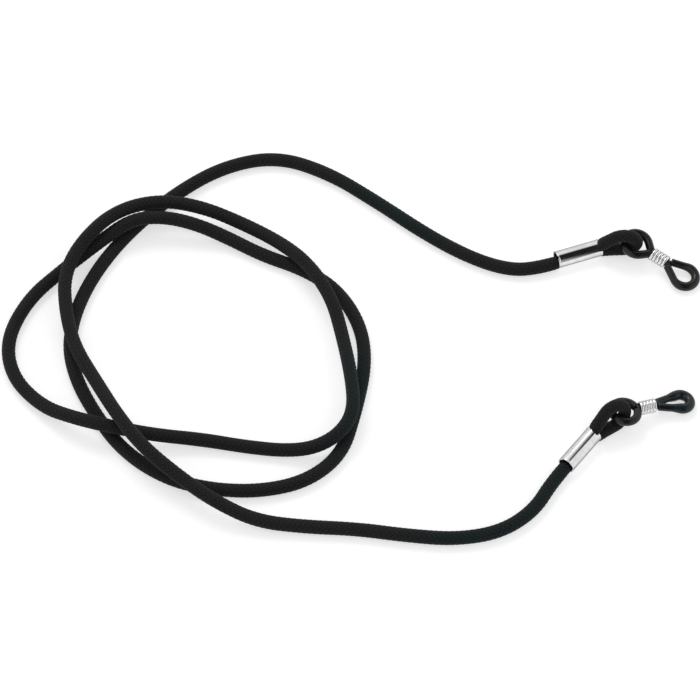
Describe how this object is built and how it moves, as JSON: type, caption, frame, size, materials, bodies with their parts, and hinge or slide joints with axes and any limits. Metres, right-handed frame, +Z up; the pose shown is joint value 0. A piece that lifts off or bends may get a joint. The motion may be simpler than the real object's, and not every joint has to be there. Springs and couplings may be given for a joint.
{
  "type": "eyeglass retainer strap",
  "caption": "Soft round neck cord for spectacles, with a crimped metal ferrule, a cord eye and a black rubber temple loop with a sliding wire coil at each end.",
  "frame": {"origin": "on the table, at the middle of the two end fittings' footprint", "axes": "+Z up from the table, +X towards the rubber loops, +Y towards the upper end of the picture"},
  "size_m": [0.1545, 0.1051, 0.0093],
  "materials": {
    "cord_black": "braided black cord",
    "rubber_black": "smooth, slightly glossy black rubber",
    "bright_metal": "bright nickel or chrome plate"
  },
  "bodies": {
    "strap": {"cord": "cord_black", "upper_cord_eye": "cord_black", "lower_cord_eye": "cord_black", "upper_ferrule": "bright_metal", "lower_ferrule": "bright_metal"},
    "upper_link": {"upper_rubber_loop": "rubber_black"},
    "lower_link": {"lower_rubber_loop": "rubber_black"},
    "upper_slider": {"upper_coil": "bright_metal"},
    "lower_slider": {"lower_coil": "bright_metal"}
  },
  "joints": [
    {"name": "upper_swing", "type": "hinge", "parent": "strap", "child": "upper_link", "pos_m": [0.0027, 0.02769, 0.00385], "axis": [0, 0, 1], "range_deg": [-30, 85]},
    {"name": "upper_coil_slide", "type": "slide", "parent": "upper_link", "child": "upper_slider", "axis": [0.8336, -0.5209, -0.1838], "range_m": [0, 0.003], "deforming": ["upper_rubber_loop"]},
    {"name": "lower_swing", "type": "hinge", "parent": "strap", "child": "lower_link", "pos_m": [-0.00179, -0.01764, 0.00384], "axis": [0, 0, 1], "range_deg": [-25, 85]},
    {"name": "lower_coil_slide", "type": "slide", "parent": "lower_link", "child": "lower_slider", "axis": [0.919, 0.3528, -0.1759], "range_m": [0, 0.003], "deforming": ["lower_rubber_loop"]}
  ]
}
